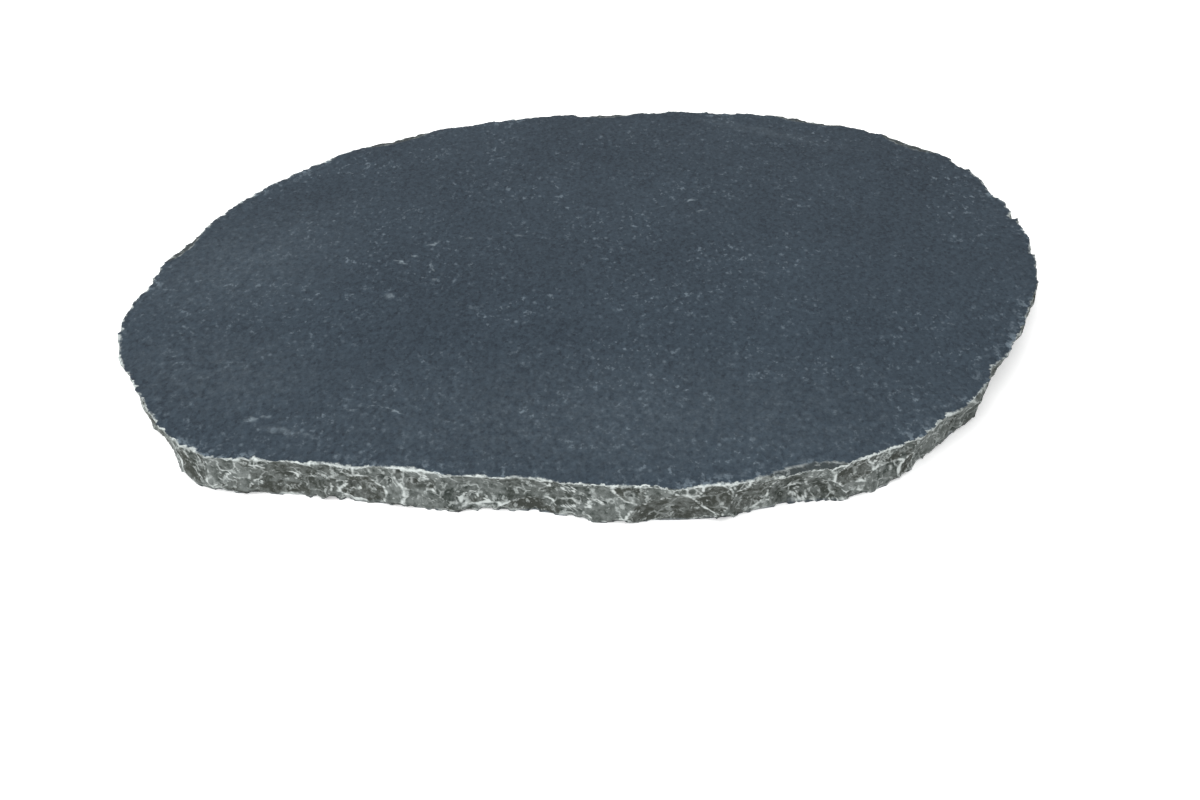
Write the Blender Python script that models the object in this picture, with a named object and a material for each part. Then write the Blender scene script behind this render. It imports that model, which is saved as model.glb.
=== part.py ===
"""A stepping stone, cut by hand from a flag of dark limestone of even thickness.

It is one piece. Its face and its bed are flat. Its edge was dressed with hammer and chisel: spalls
struck from the arris run the whole height of the wall, and smaller flakes took off what they left
standing proud, so the wall is made of hollow scars with sharp crests where they meet.

Row frame: metres, +Z up, origin under the middle of the stone on its bed, +X along its length and -Y
towards its straightest side. The sizes below are in millimetres, and MM turns them to metres.
"""

import math
import random

import bmesh
import bpy
from mathutils import Matrix, Vector

MM = 0.001
UP = Vector((0, 0, 1))

THICKNESS = 23.0
LIMESTONE = (0.056, 0.074, 0.093, 1.0)
LIMESTONE_ROUGHNESS = 0.75

# The arris before it was dressed, in plan, counter-clockwise from the front left corner.
ARRIS = [
    (-200, -168), (-183, -181), (-152, -185), (-108, -190), (-34, -200), (20, -206), (76, -201), (130, -181),
    (172, -151), (203, -107), (233, -46), (248, 5), (246, 68), (225, 132), (160, 187), (90, 206), (20, 206),
    (-60, 194), (-135, 162), (-192, 107), (-230, 39), (-247, -31), (-248, -78), (-225, -129),
]
ARRIS_STEPS = 5  # straight pieces from one of those points to the next
CORE = 15.0  # no scar reaches this far in from the arris

# Spalls of the front wall: the distance along the rim from the front left corner, width at the bed, bite
# at the face, bite at the bed, how far the scar runs sideways on its way down, and how hollow it is.
FRONT_SPALLS = [
    (-60, 56, 0.4, 6.0, 0, 1.4), (-26, 60, 0.4, 7.6, 6, 1.6), (-9, 34, 0.6, 4.5, 0, 1.2),
    (8, 28, 0.7, 3.0, 8, 1.4), (34, 50, 0.4, 3.2, -6, 1.0), (60, 42, 0.6, 3.6, 6, 1.2),
    (88, 30, 0.7, 2.0, -8, 1.0), (107, 14, 2.4, 0.6, 2, 0.8), (123, 14, 2.2, 0.8, 2, 0.9),
    (158, 30, 0.6, 4.4, -4, 1.6), (174, 48, 0.4, 7.4, 6, 1.8), (199, 28, 0.6, 1.4, 2, 1.2),
    (294, 74, 0.5, 8.7, 0, 1.8), (350, 22, 0.6, 1.8, 4, 1.0), (383, 54, 0.6, 6.8, 6, 2.0),
    (409, 50, 0.5, 8.2, -4, 1.2), (446, 56, 0.5, 6.5, 6, 1.2), (478, 62, 0.6, 9.6, 0, 1.6),
    (516, 66, 0.4, 10.5, -6, 1.4),
]
# Flakes struck later on the same wall: distance, level above the bed, width, height, depth and turn in
# degrees.
FRONT_FLAKES = [
    (16, 14, 20, 18, 1.4, 20), (40, 16, 34, 16, 1.1, -8), (59, 3, 26, 18, 1.6, 12),
    (77, 18, 20, 12, 0.9, 0), (97, 18, 12, 10, 0.9, 30), (97, 5, 25, 24, 1.6, 18),
    (117, 18, 22, 12, 1.2, -20), (130, 3, 20, 18, 1.0, -10), (153, 12, 17, 16, 1.8, 8),
    (172, 19, 30, 10, 0.9, 0), (197, 4, 26, 16, 1.0, -15), (212, 18, 26, 14, 1.2, 15),
    (245, 0, 40, 34, 3.4, 0), (232, 18, 26, 12, 1.0, 0), (261, 16, 18, 20, 1.8, -18),
    (269, 21, 5, 5, 1.0, 0), (283, 18, 22, 14, 1.3, 10), (301, 8, 20, 15, 1.6, 25),
    (313, 16, 18, 16, 1.3, 0), (331, 13, 19, 19, 2.2, 12), (329, 1, 20, 12, 1.3, 0),
    (352, 18, 18, 10, 1.0, 0), (366, 6, 20, 14, 1.6, -15), (392, 17, 24, 12, 1.1, 12),
    (421, 6, 20, 14, 1.5, 0), (452, 16, 22, 12, 1.2, -8), (470, 5, 24, 14, 1.4, 15),
]
# The rest of the wall is dressed in the same way. Each pair is the least and the most; a spall's step and
# its bite at the bed are shares of its width.
SPALL = {
    "width": (26, 70), "step": (0.4, 0.8), "face_bite": (0.1, 0.5), "bed_bite": (0.05, 0.14),
    "sideways": (-14, 14), "hollow": (0.7, 2.0),
}
FLAKES = [
    {
        "all_round": False, "every": 26, "level": (1, 9),
        "width": (16, 36), "height": (12, 26), "depth": (1.0, 2.4),
    },
    {
        "all_round": False, "every": 24, "level": (9, 16),
        "width": (14, 34), "height": (8, 15), "depth": (0.7, 1.4),
    },
    {
        "all_round": True, "every": 32, "level": (20, 22),
        "width": (6, 13), "height": (5, 9), "depth": (0.3, 0.7),
    },
]
SQUARENESS = 0.65  # 0 strikes a flake square to the scar that it lands in, and 1 square to the rim
FLAKE_TURN = 30  # degrees either way
FLAKE_TILT = 10  # degrees either way, off square to the stone that it is struck from
PROUDEST_OF = 4  # places looked at before each flake is struck where the wall stands furthest out

# Thin flakes that ran in under the rim and lifted off the face: the share of the way round from the
# front left corner, the length along the rim, the reach into the face and the depth.
FACE_FLAKES = [
    (0.208, 46, 8, 1.2), (0.500, 44, 8, 0.8), (0.548, 52, 7, 0.7), (0.640, 44, 6, 0.8),
    (0.735, 50, 7, 0.8), (0.860, 40, 6, 0.6),
]

# The ball that cuts a scar: its radius square to the stone (for a spall, in millimetres; for the
# others, as a multiple of the depth they cut) and how finely a small one and a large one are divided.
SPALL_RADIUS = 18.0
FLAKE_FLATNESS = 6.0
FACE_FLATNESS = 9.0
LARGE_BALL = 26.0
SMALL_STEPS = 2
LARGE_STEPS = 3
SEED = 11


def new_collection(name):
    made = bpy.data.collections.new(name)
    bpy.context.scene.collection.children.link(made)
    return made


def new_object(name, data, collection):
    made = bpy.data.objects.new(name, data)
    collection.objects.link(made)
    return made


def evaluated_mesh(thing):
    bpy.context.view_layer.update()
    return bpy.data.meshes.new_from_object(thing.evaluated_get(bpy.context.evaluated_depsgraph_get()))


# ---- the blank ---------------------------------------------------------------------------------
def draw_arris(collection):
    curve = bpy.data.curves.new("arris", "CURVE")
    curve.dimensions = "2D"
    curve.fill_mode = "NONE"
    curve.resolution_u = ARRIS_STEPS
    spline = curve.splines.new("BEZIER")
    spline.bezier_points.add(len(ARRIS) - 1)
    spline.use_cyclic_u = True
    for point, (x, y) in zip(spline.bezier_points, ARRIS):
        point.co = Vector((x, y, 0)) * MM
        point.handle_left_type = "AUTO"
        point.handle_right_type = "AUTO"
    drawn = new_object("arris_line", curve, collection)
    drawn.location.z = THICKNESS / 2 * MM
    return drawn


def make_blank(drawn, collection):
    """The arris filled and given the stone's thickness, as a mesh object in the curve's place."""
    drawn.data.fill_mode = "BOTH"
    drawn.data.extrude = THICKNESS / 2 * MM
    mesh = evaluated_mesh(drawn)
    work = bmesh.new()
    work.from_mesh(mesh)
    bmesh.ops.remove_doubles(work, verts=work.verts, dist=0.01 * MM)
    bmesh.ops.recalc_face_normals(work, faces=work.faces)
    work.to_mesh(mesh)
    work.free()
    stone = new_object("stepping_stone", mesh, collection)
    stone.matrix_world = drawn.matrix_world
    bpy.data.objects.remove(drawn)
    return stone


class Rim:
    """The arris in plan, in millimetres, by the distance round it from the front left corner."""

    def __init__(self, points):
        self.points = points
        self.marks = [0.0]
        for here, there in zip(points, points[1:] + points[:1]):
            self.marks.append(self.marks[-1] + (there - here).length)
        self.length = self.marks[-1]

    def at(self, distance):
        distance %= self.length
        i = max(k for k, mark in enumerate(self.marks[:-1]) if mark <= distance)
        there = self.points[(i + 1) % len(self.points)]
        return self.points[i].lerp(there, (distance - self.marks[i]) / (self.marks[i + 1] - self.marks[i]))

    def axes(self, distance, span=5.0):
        """The directions along the rim and out of the stone."""
        along = (self.at(distance + span) - self.at(distance - span)).normalized()
        return along, Vector((along.y, -along.x, 0))


# ---- the scars ---------------------------------------------------------------------------------
class Wall:
    """The dressed wall: ellipsoid scars, struck one after another, each on what the last ones left."""

    def __init__(self, rim):
        self.rim = rim
        self.scars = []

    def scar(self, deepest, along, square, radii):
        """Cut an ellipsoid hollow down to `deepest`. Its third radius points out of the stone."""
        along = (along - square * along.dot(square)).normalized()
        turned = Matrix((along, square.cross(along), square)).transposed().to_4x4()
        shape = Matrix.Translation(deepest + square * radii[2]) @ turned @ Matrix.Diagonal((*radii, 1))
        self.scars.append((shape, shape.inverted()))

    def surface(self, distance, level):
        """The point of the wall at this level, its bite in from the arris, and the way it faces."""
        along, out = self.rim.axes(distance)
        start = self.rim.at(distance) + UP * level - out * CORE
        reach, facing = CORE, out
        for _, inverse in self.scars:
            here, step = inverse @ start, inverse.to_3x3() @ out
            a, b, c = step.length_squared, here.dot(step), here.length_squared - 1
            if b < 0 and b * b > a * c:
                met = (-b - math.sqrt(b * b - a * c)) / a
                if met < reach:
                    reach = met
                    facing = -(inverse.to_3x3().transposed() @ (here + step * met)).normalized()
        return start + out * reach, CORE - reach, facing

    def spall(self, distance, width, face_bite, bed_bite, sideways, hollow):
        """A scar the whole height of the wall, which widens and deepens towards the bed."""
        along, out = self.rim.axes(distance)
        fall = along * sideways - UP * THICKNESS - out * (bed_bite - face_bite)
        square = fall.cross(along).normalized()
        middle = self.rim.at(distance) - out * face_bite + UP * THICKNESS + fall / 2
        upright = math.sqrt(SPALL_RADIUS * fall.length ** 2 / (8 * hollow))
        across = math.sqrt(SPALL_RADIUS * (width / 2) ** 2 / (2 * bed_bite))
        level_axis = fall.cross(square)
        self.scar(middle - square * hollow, level_axis, square, (across, upright, SPALL_RADIUS))

    def flake(self, distance, level, width, height, depth, turn=0, lean=0, yaw=0):
        """An oval scar in the wall as it stands, struck nearly square to the rim."""
        point, _, facing = self.surface(distance, level)
        along, out = self.rim.axes(distance)
        facing = facing.lerp(out, SQUARENESS).normalized()
        facing.rotate(Matrix.Rotation(math.radians(lean), 3, along))
        facing.rotate(Matrix.Rotation(math.radians(yaw), 3, UP))
        along.rotate(Matrix.Rotation(math.radians(turn), 3, facing))
        spread = math.sqrt(1 - (1 - 1 / FLAKE_FLATNESS) ** 2)
        radii = (width / 2 / spread, height / 2 / spread, depth * FLAKE_FLATNESS)
        self.scar(point - facing * depth, along, facing, radii)

    def face_flake(self, distance, length, reach, depth):
        """A shallow scar in the face, with its middle on the rim."""
        spread = math.sqrt(1 - (1 - 1 / FACE_FLATNESS) ** 2)
        deepest = self.rim.at(distance) + UP * (THICKNESS - depth)
        radii = (length / 2 / spread, reach / spread, depth * FACE_FLATNESS)
        self.scar(deepest, self.rim.axes(distance)[0], UP, radii)


def dress(rim):
    """Every scar of the stone, in the order in which they were struck."""
    wall = Wall(rim)
    draw = random.Random(SEED)
    for distance, *shape in FRONT_SPALLS:
        wall.spall(distance, *shape)
    front_end = FRONT_SPALLS[-1][0] + FRONT_SPALLS[-1][1] / 3
    back_end = rim.length + FRONT_SPALLS[0][0] - FRONT_SPALLS[0][1] / 3

    distance = front_end
    while distance < back_end:
        width = draw.uniform(*SPALL["width"])
        step = width * draw.uniform(*SPALL["step"])
        face_bite = draw.uniform(*SPALL["face_bite"])
        bed_bite = width * draw.uniform(*SPALL["bed_bite"])
        sideways = draw.uniform(*SPALL["sideways"])
        wall.spall(distance + step / 2, width, face_bite, bed_bite, sideways, draw.uniform(*SPALL["hollow"]))
        distance += step
    for distance, *shape in FRONT_FLAKES:
        wall.flake(distance, *shape)
    for kind in FLAKES:
        start, end = (0, rim.length) if kind["all_round"] else (front_end, back_end)
        for _ in range(round((end - start) / kind["every"])):
            level = draw.uniform(*kind["level"])
            places = [draw.uniform(start, end) for _ in range(PROUDEST_OF)]
            place = min(places, key=lambda distance: wall.surface(distance, level)[1])
            shape = [draw.uniform(*kind[key]) for key in ("width", "height", "depth")]
            tilts = [draw.uniform(-most, most) for most in (FLAKE_TURN, FLAKE_TILT, FLAKE_TILT)]
            wall.flake(place, level, *shape, *tilts)
    for share, *shape in FACE_FLAKES:
        wall.face_flake(share * rim.length, *shape)
    return wall.scars


def add_cutters(scars, collection):
    balls = {}
    for steps in (SMALL_STEPS, LARGE_STEPS):
        balls[steps] = bpy.data.meshes.new("chisel_scar")
        work = bmesh.new()
        bmesh.ops.create_icosphere(work, subdivisions=steps, radius=1)
        work.to_mesh(balls[steps])
        work.free()
    for shape, _ in scars:
        is_large = max(shape.to_scale()) > LARGE_BALL
        cutter = new_object("chisel_scar", balls[LARGE_STEPS if is_large else SMALL_STEPS], collection)
        cutter.matrix_world = Matrix.Diagonal((MM, MM, MM, 1)) @ shape
        cutter.display_type = "WIRE"
        cutter.hide_render = True


def limestone():
    made = bpy.data.materials.new("dark_limestone")
    made.use_nodes = True
    shader = made.node_tree.nodes["Principled BSDF"]
    shader.inputs["Base Color"].default_value = LIMESTONE
    shader.inputs["Roughness"].default_value = LIMESTONE_ROUGHNESS
    shader.inputs["Metallic"].default_value = 0.0
    return made


def main():
    for old in list(bpy.data.objects):
        bpy.data.objects.remove(old)
    parts = new_collection("limestone_stepping_stone")
    cutters = new_collection("chisel_scars")

    arris = draw_arris(parts)
    rim = Rim([vertex.co / MM for vertex in evaluated_mesh(arris).vertices])
    stone = make_blank(arris, parts)
    stone.data.materials.append(limestone())
    add_cutters(dress(rim), cutters)
    dressing = stone.modifiers.new("dressing", "BOOLEAN")
    dressing.operation = "DIFFERENCE"
    dressing.operand_type = "COLLECTION"
    dressing.collection = cutters
    dressing.solver = "EXACT"


main()
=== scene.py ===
import math
import random

import bpy
import numpy as np
from mathutils import Matrix, Vector, noise


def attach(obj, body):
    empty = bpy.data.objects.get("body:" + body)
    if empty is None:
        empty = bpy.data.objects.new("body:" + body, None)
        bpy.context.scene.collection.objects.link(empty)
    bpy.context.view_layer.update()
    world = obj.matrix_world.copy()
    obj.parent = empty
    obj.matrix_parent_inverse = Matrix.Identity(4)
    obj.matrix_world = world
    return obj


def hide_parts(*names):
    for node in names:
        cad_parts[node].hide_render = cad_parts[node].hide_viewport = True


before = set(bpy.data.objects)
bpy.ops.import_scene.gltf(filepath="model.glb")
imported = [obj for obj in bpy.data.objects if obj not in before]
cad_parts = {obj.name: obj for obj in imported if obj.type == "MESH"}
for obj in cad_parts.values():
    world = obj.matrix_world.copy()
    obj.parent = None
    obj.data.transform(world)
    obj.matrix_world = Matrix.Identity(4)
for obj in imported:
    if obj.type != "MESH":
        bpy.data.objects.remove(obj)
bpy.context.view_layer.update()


# ---------------------------------------------------------------------------
# The flag: a slab split from a bed of blue-black limestone, 23 mm thick, and
# cut by hand to a rounded four-sided outline. It is one solid, lying on its
# bed, and its rim is where the face meets the wall before any chisel work.
# ---------------------------------------------------------------------------

MM = 0.001
UP = Vector((0, 0, 1))
THICKNESS = 23.0
ARRIS = [  # in plan, counter-clockwise from the front left corner
    (-200, -168), (-183, -181), (-152, -185), (-108, -190), (-34, -200), (20, -206),
    (76, -201), (130, -181), (172, -151), (203, -107), (233, -46), (248, 5),
    (246, 68), (225, 132), (160, 187), (90, 206), (20, 206), (-60, 194),
    (-135, 162), (-192, 107), (-230, 39), (-247, -31), (-248, -78), (-225, -129),
]
ARRIS_STEPS = 5  # straight pieces from one of those points to the next
CORE = 15.0  # the dressing never reaches this far in from the rim, at mid-height


def draw_arris():
    """The rim as a smooth closed line, in millimetres."""
    line = bpy.data.curves.new("arris", "CURVE")
    line.dimensions = "2D"
    line.fill_mode = "NONE"
    line.resolution_u = ARRIS_STEPS
    spline = line.splines.new("BEZIER")
    spline.bezier_points.add(len(ARRIS) - 1)
    spline.use_cyclic_u = True
    for knot, (x, y) in zip(spline.bezier_points, ARRIS):
        knot.co = (x * MM, y * MM, 0)
        knot.handle_left_type = "AUTO"
        knot.handle_right_type = "AUTO"
    drawn = bpy.data.objects.new("arris", line)
    bpy.context.scene.collection.objects.link(drawn)
    bpy.context.view_layer.update()
    sampled = drawn.evaluated_get(bpy.context.evaluated_depsgraph_get()).to_mesh()
    points = [vertex.co / MM for vertex in sampled.vertices]
    bpy.data.objects.remove(drawn)
    bpy.data.curves.remove(line)
    return points


class Rim:
    """The rim line, measured counter-clockwise from the front left corner."""

    def __init__(self, points):
        self.points = points
        self.marks = [0.0]
        for here, there in zip(points, points[1:] + points[:1]):
            self.marks.append(self.marks[-1] + (there - here).length)
        self.length = self.marks[-1]

    def at(self, distance):
        distance %= self.length
        i = max(k for k, mark in enumerate(self.marks[:-1]) if mark <= distance)
        there = self.points[(i + 1) % len(self.points)]
        share = (distance - self.marks[i]) / (self.marks[i + 1] - self.marks[i])
        return self.points[i].lerp(there, share)

    def axes(self, distance, span=5.0):
        """The directions along the rim and straight out of the stone."""
        along = (self.at(distance + span) - self.at(distance - span)).normalized()
        return along, Vector((along.y, -along.x, 0))


rim = Rim(draw_arris())


# ---------------------------------------------------------------------------
# The chisel dressing: spalls struck off the rim from the face down to the
# bed, then flakes off the wall they leave, then thin flakes off the face.
# Every blow leaves a shallow hollow with a sharp ridge to its neighbours.
# ---------------------------------------------------------------------------

FRONT_SPALLS = [  # distance along the rim, width at bed, bite at face, bite at bed, sideways, hollow
    (-60, 56, 0.4, 6.0, 0, 1.4), (-26, 60, 0.4, 7.6, 6, 1.6), (-9, 34, 0.6, 4.5, 0, 1.2),
    (8, 28, 0.7, 3.0, 8, 1.4), (34, 50, 0.4, 3.2, -6, 1.0), (60, 42, 0.6, 3.6, 6, 1.2),
    (88, 30, 0.7, 2.0, -8, 1.0), (107, 14, 2.4, 0.6, 2, 0.8), (123, 14, 2.2, 0.8, 2, 0.9),
    (158, 30, 0.6, 4.4, -4, 1.6), (174, 48, 0.4, 7.4, 6, 1.8), (199, 28, 0.6, 1.4, 2, 1.2),
    (294, 74, 0.5, 8.7, 0, 1.8), (350, 22, 0.6, 1.8, 4, 1.0), (383, 54, 0.6, 6.8, 6, 2.0),
    (409, 50, 0.5, 8.2, -4, 1.2), (446, 56, 0.5, 6.5, 6, 1.2), (478, 62, 0.6, 9.6, 0, 1.6),
    (516, 66, 0.4, 10.5, -6, 1.4),
]
FRONT_FLAKES = [  # distance along the rim, level above the bed, width, height, depth, turn in degrees
    (16, 14, 20, 18, 1.4, 20), (40, 16, 34, 16, 1.1, -8), (59, 3, 26, 18, 1.6, 12),
    (77, 18, 20, 12, 0.9, 0), (97, 18, 12, 10, 0.9, 30), (97, 5, 25, 24, 1.6, 18),
    (117, 18, 22, 12, 1.2, -20), (130, 3, 20, 18, 1.0, -10), (153, 12, 17, 16, 1.8, 8),
    (172, 19, 30, 10, 0.9, 0), (197, 4, 26, 16, 1.0, -15), (212, 18, 26, 14, 1.2, 15),
    (245, 0, 40, 34, 3.4, 0), (232, 18, 26, 12, 1.0, 0), (261, 16, 18, 20, 1.8, -18),
    (269, 21, 5, 5, 1.0, 0), (283, 18, 22, 14, 1.3, 10), (301, 8, 20, 15, 1.6, 25),
    (313, 16, 18, 16, 1.3, 0), (331, 13, 19, 19, 2.2, 12), (329, 1, 20, 12, 1.3, 0),
    (352, 18, 18, 10, 1.0, 0), (366, 6, 20, 14, 1.6, -15), (392, 17, 24, 12, 1.1, 12),
    (421, 6, 20, 14, 1.5, 0), (452, 16, 22, 12, 1.2, -8), (470, 5, 24, 14, 1.4, 15),
]

# The rest of the wall. Each pair is the least and the most; a spall's step and its bite at the bed
# are shares of its width.
SPALL = {
    "width": (26, 70), "step": (0.4, 0.8), "face_bite": (0.1, 0.5), "bed_bite": (0.05, 0.14),
    "sideways": (-14, 14), "hollow": (0.7, 2.0),
}
FLAKES = [
    {
        "all_round": False, "every": 26, "level": (1, 9),
        "width": (16, 36), "height": (12, 26), "depth": (1.0, 2.4),
    },
    {
        "all_round": False, "every": 24, "level": (9, 16),
        "width": (14, 34), "height": (8, 15), "depth": (0.7, 1.4),
    },
    {
        "all_round": True, "every": 32, "level": (20, 22),
        "width": (6, 13), "height": (5, 9), "depth": (0.3, 0.7),
    },
]
SQUARENESS = 0.65  # 0 strikes a flake square to the scar that it lands in, and 1 square to the rim
FLAKE_TURN = 30  # degrees either way
FLAKE_TILT = 10  # degrees either way
PROUDEST_OF = 4  # places looked at before each flake is struck where the wall stands furthest out
FACE_FLAKES = [  # share of the way round, length, reach into the face, depth
    (0.208, 46, 8, 1.2), (0.500, 44, 8, 0.8), (0.548, 52, 7, 0.7), (0.640, 44, 6, 0.8),
    (0.735, 50, 7, 0.8), (0.860, 40, 6, 0.6),
]

# The ball that cuts a scar: its radius square to the stone, for a spall in millimetres and for the
# others as a multiple of the depth that they cut.
SPALL_RADIUS = 18.0
FLAKE_FLATNESS = 6.0
FACE_FLATNESS = 9.0
SEED = 11


class Wall:
    """The wall of the flag as the blows leave it.

    A scar is an ellipsoid, held as the matrix that maps the unit ball to it and that matrix's inverse.
    """

    def __init__(self, rim):
        self.rim = rim
        self.scars = []

    def scar(self, deepest, along, square, radii):
        along = (along - square * along.dot(square)).normalized()
        turned = Matrix((along, square.cross(along), square)).transposed().to_4x4()
        shape = Matrix.Translation(deepest + square * radii[2]) @ turned @ Matrix.Diagonal((*radii, 1))
        self.scars.append((shape, shape.inverted()))

    def surface(self, distance, level):
        """The outermost point left there, how far it lies in from the rim, and the way it faces."""
        _, out = self.rim.axes(distance)
        start = self.rim.at(distance) + UP * level - out * CORE
        reach, facing = CORE, out
        for _, inverse in self.scars:
            here, step = inverse @ start, inverse.to_3x3() @ out
            a, b, c = step.length_squared, here.dot(step), here.length_squared - 1
            if b < 0 and b * b > a * c:
                met = (-b - math.sqrt(b * b - a * c)) / a
                if met < reach:
                    reach = met
                    facing = -(inverse.to_3x3().transposed() @ (here + step * met)).normalized()
        return start + out * reach, CORE - reach, facing

    def spall(self, distance, width, face_bite, bed_bite, sideways, hollow):
        along, out = self.rim.axes(distance)
        fall = along * sideways - UP * THICKNESS - out * (bed_bite - face_bite)
        square = fall.cross(along).normalized()
        middle = self.rim.at(distance) - out * face_bite + UP * THICKNESS + fall / 2
        upright = math.sqrt(SPALL_RADIUS * fall.length ** 2 / (8 * hollow))
        across = math.sqrt(SPALL_RADIUS * (width / 2) ** 2 / (2 * bed_bite))
        level_axis = fall.cross(square)
        self.scar(middle - square * hollow, level_axis, square, (across, upright, SPALL_RADIUS))

    def flake(self, distance, level, width, height, depth, turn=0, lean=0, yaw=0):
        point, _, facing = self.surface(distance, level)
        along, out = self.rim.axes(distance)
        facing = facing.lerp(out, SQUARENESS).normalized()
        facing.rotate(Matrix.Rotation(math.radians(lean), 3, along))
        facing.rotate(Matrix.Rotation(math.radians(yaw), 3, UP))
        along.rotate(Matrix.Rotation(math.radians(turn), 3, facing))
        spread = math.sqrt(1 - (1 - 1 / FLAKE_FLATNESS) ** 2)
        radii = (width / 2 / spread, height / 2 / spread, depth * FLAKE_FLATNESS)
        self.scar(point - facing * depth, along, facing, radii)

    def face_flake(self, distance, length, reach, depth):
        spread = math.sqrt(1 - (1 - 1 / FACE_FLATNESS) ** 2)
        deepest = self.rim.at(distance) + UP * (THICKNESS - depth)
        radii = (length / 2 / spread, reach / spread, depth * FACE_FLATNESS)
        self.scar(deepest, self.rim.axes(distance)[0], UP, radii)


def dress(rim):
    """Every blow in its order, from the front left corner round."""
    wall = Wall(rim)
    draw = random.Random(SEED)
    for distance, *shape in FRONT_SPALLS:
        wall.spall(distance, *shape)
    front_end = FRONT_SPALLS[-1][0] + FRONT_SPALLS[-1][1] / 3
    back_end = rim.length + FRONT_SPALLS[0][0] - FRONT_SPALLS[0][1] / 3
    distance = front_end
    while distance < back_end:
        width = draw.uniform(*SPALL["width"])
        step = width * draw.uniform(*SPALL["step"])
        face_bite = draw.uniform(*SPALL["face_bite"])
        bed_bite = width * draw.uniform(*SPALL["bed_bite"])
        sideways = draw.uniform(*SPALL["sideways"])
        hollow = draw.uniform(*SPALL["hollow"])
        wall.spall(distance + step / 2, width, face_bite, bed_bite, sideways, hollow)
        distance += step
    for distance, *shape in FRONT_FLAKES:
        wall.flake(distance, *shape)
    for kind in FLAKES:
        start, end = (0, rim.length) if kind["all_round"] else (front_end, back_end)
        for _ in range(round((end - start) / kind["every"])):
            level = draw.uniform(*kind["level"])
            places = [draw.uniform(start, end) for _ in range(PROUDEST_OF)]
            place = min(places, key=lambda distance: wall.surface(distance, level)[1])
            shape = [draw.uniform(*kind[key]) for key in ("width", "height", "depth")]
            tilts = [draw.uniform(-most, most) for most in (FLAKE_TURN, FLAKE_TILT, FLAKE_TILT)]
            wall.flake(place, level, *shape, *tilts)
    for share, *shape in FACE_FLAKES:
        wall.face_flake(share * rim.length, *shape)
    return wall


wall = dress(rim)


# ---------------------------------------------------------------------------
# The broken surface: limestone breaks with a fine sugary grain, ripples that
# run out from each blow, and crumbs lost from every ridge. The skin is found
# along lines that fan out from inside the rim to the face, wall and bed.
# ---------------------------------------------------------------------------

STATIONS = 1376  # about one for each millimetre of rim
ROW_SPACING = 0.8
BEYOND = 9.0  # a reach far past the end of every line
FACE_INSETS = [15.0, 12.6, 10.6, 8.8, 7.2, 5.8, 4.6, 3.6, 2.8, 2.1, 1.5, 1.0, 0.6, 0.3]
WALL_LEVELS = [23.0, 22.6, 22.1, 21.5, 20.8, 20.1, 19.3, 18.5]
WALL_LEVELS += [17.7 - ROW_SPACING * k for k in range(22)] + [0.4]
BED_INSETS = [0.0, 1.0, 2.0, 3.0, 4.0, 5.0, 6.2, 7.4, 8.8, 10.4, 12.4, 15.0]
profile = [(inset, THICKNESS) for inset in FACE_INSETS]
profile += [(0.0, level) for level in WALL_LEVELS]
profile += [(inset, 0.0) for inset in BED_INSETS]
ROWS = len(profile)
station_marks = np.arange(STATIONS) * rim.length / STATIONS
arris_at = np.array([rim.at(mark) for mark in station_marks])
outward = np.array([rim.axes(mark)[1] for mark in station_marks])
alongside = np.array([rim.axes(mark)[0] for mark in station_marks])


class Skin:
    """Where each fan line leaves the stone, as a share of its length to the uncut blank."""

    def __init__(self):
        self.start = arris_at - outward * CORE + np.array((0, 0, THICKNESS / 2))
        insets = np.array([inset for inset, _ in profile])
        levels = np.array([level for _, level in profile])
        ends = arris_at[:, None, :] - outward[:, None, :] * insets[None, :, None]
        ends[:, :, 2] = levels[None, :]
        self.line = ends - self.start[:, None, :]
        self.reach = np.ones((STATIONS, ROWS))
        self.next_reach = np.full((STATIONS, ROWS), BEYOND)
        self.made_by = np.full((STATIONS, ROWS), -1)
        self.balls = []

    def cut(self, inverse):
        """Takes one ellipsoid out of the stone, where it meets the fan lines."""
        inverse = np.array(inverse)
        turn, shift = inverse[:3, :3], inverse[:3, 3]
        centre = np.linalg.inv(inverse)[:3, 3]
        largest = 1 / np.linalg.svd(turn, compute_uv=False).min()
        near = np.nonzero(np.hypot(*(arris_at - centre)[:, :2].T) < largest + CORE)[0]
        here = self.start[near] @ turn.T + shift
        step = self.line[near] @ turn.T
        a = (step ** 2).sum(-1)
        b = (step * here[:, None, :]).sum(-1)
        c = ((here ** 2).sum(-1) - 1)[:, None]
        inside = b * b - a * c
        hit = (b < 0) & (inside > 0)
        met = np.where(hit, (-b - np.sqrt(np.maximum(inside, 0))) / a, BEYOND)
        reach, after, maker = self.reach[near], self.next_reach[near], self.made_by[near]
        deeper = met < reach
        self.next_reach[near] = np.where(deeper, reach, np.minimum(after, met))
        self.made_by[near] = np.where(deeper, len(self.balls), maker)
        self.reach[near] = np.where(deeper, met, reach)
        self.balls.append((turn, shift))

    def point(self, station, row):
        return self.start[station] + self.line[station, row] * self.reach[station, row]

    def facing(self, station, row):
        ball = self.made_by[station, row]
        if ball < 0:
            return np.array(UP) if profile[row][1] == THICKNESS else outward[station]
        turn, shift = self.balls[ball]
        towards = -turn.T @ (turn @ self.point(station, row) + shift)
        return towards / np.linalg.norm(towards)

    def gap(self, station, row):
        """How much further the next surface lies, in millimetres: nothing on a ridge."""
        spare = self.next_reach[station, row] - self.reach[station, row]
        return spare * np.linalg.norm(self.line[station, row])


skin = Skin()
for _, inverse in wall.scars:
    skin.cut(inverse)
blows = len(wall.scars)
lengths = np.linalg.norm(skin.line, axis=-1)

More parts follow.
